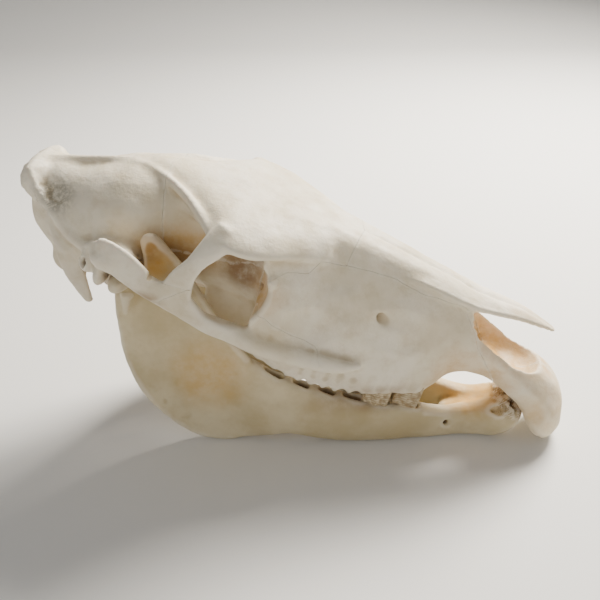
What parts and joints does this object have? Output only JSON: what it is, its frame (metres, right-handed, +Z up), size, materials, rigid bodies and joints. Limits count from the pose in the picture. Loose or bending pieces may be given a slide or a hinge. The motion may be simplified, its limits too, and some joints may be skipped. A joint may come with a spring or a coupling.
{
  "type": "zebra skull",
  "caption": "Life-size zebra skull resting on its lower jaw, most teeth lost, divided at the sutures between its bones",
  "frame": {"origin": "on the floor under the middle of the whole skull's bounding box", "axes": "+X towards the nose, +Y towards the animal's left, +Z up"},
  "size_m": [0.4978, 0.1886, 0.279],
  "materials": {
    "bone": "dry bleached bone, matte",
    "jaw_bone": "dry stained bone, matte"
  },
  "bodies": {
    "root": {"braincase": "bone", "frontal": "bone", "nasal_left": "bone", "nasal_right": "bone", "maxilla_left": "bone", "maxilla_right": "bone", "incisive_left": "bone", "incisive_right": "bone", "zygomatic_left": "bone", "zygomatic_right": "bone", "mandible": "jaw_bone"}
  },
  "joints": []
}
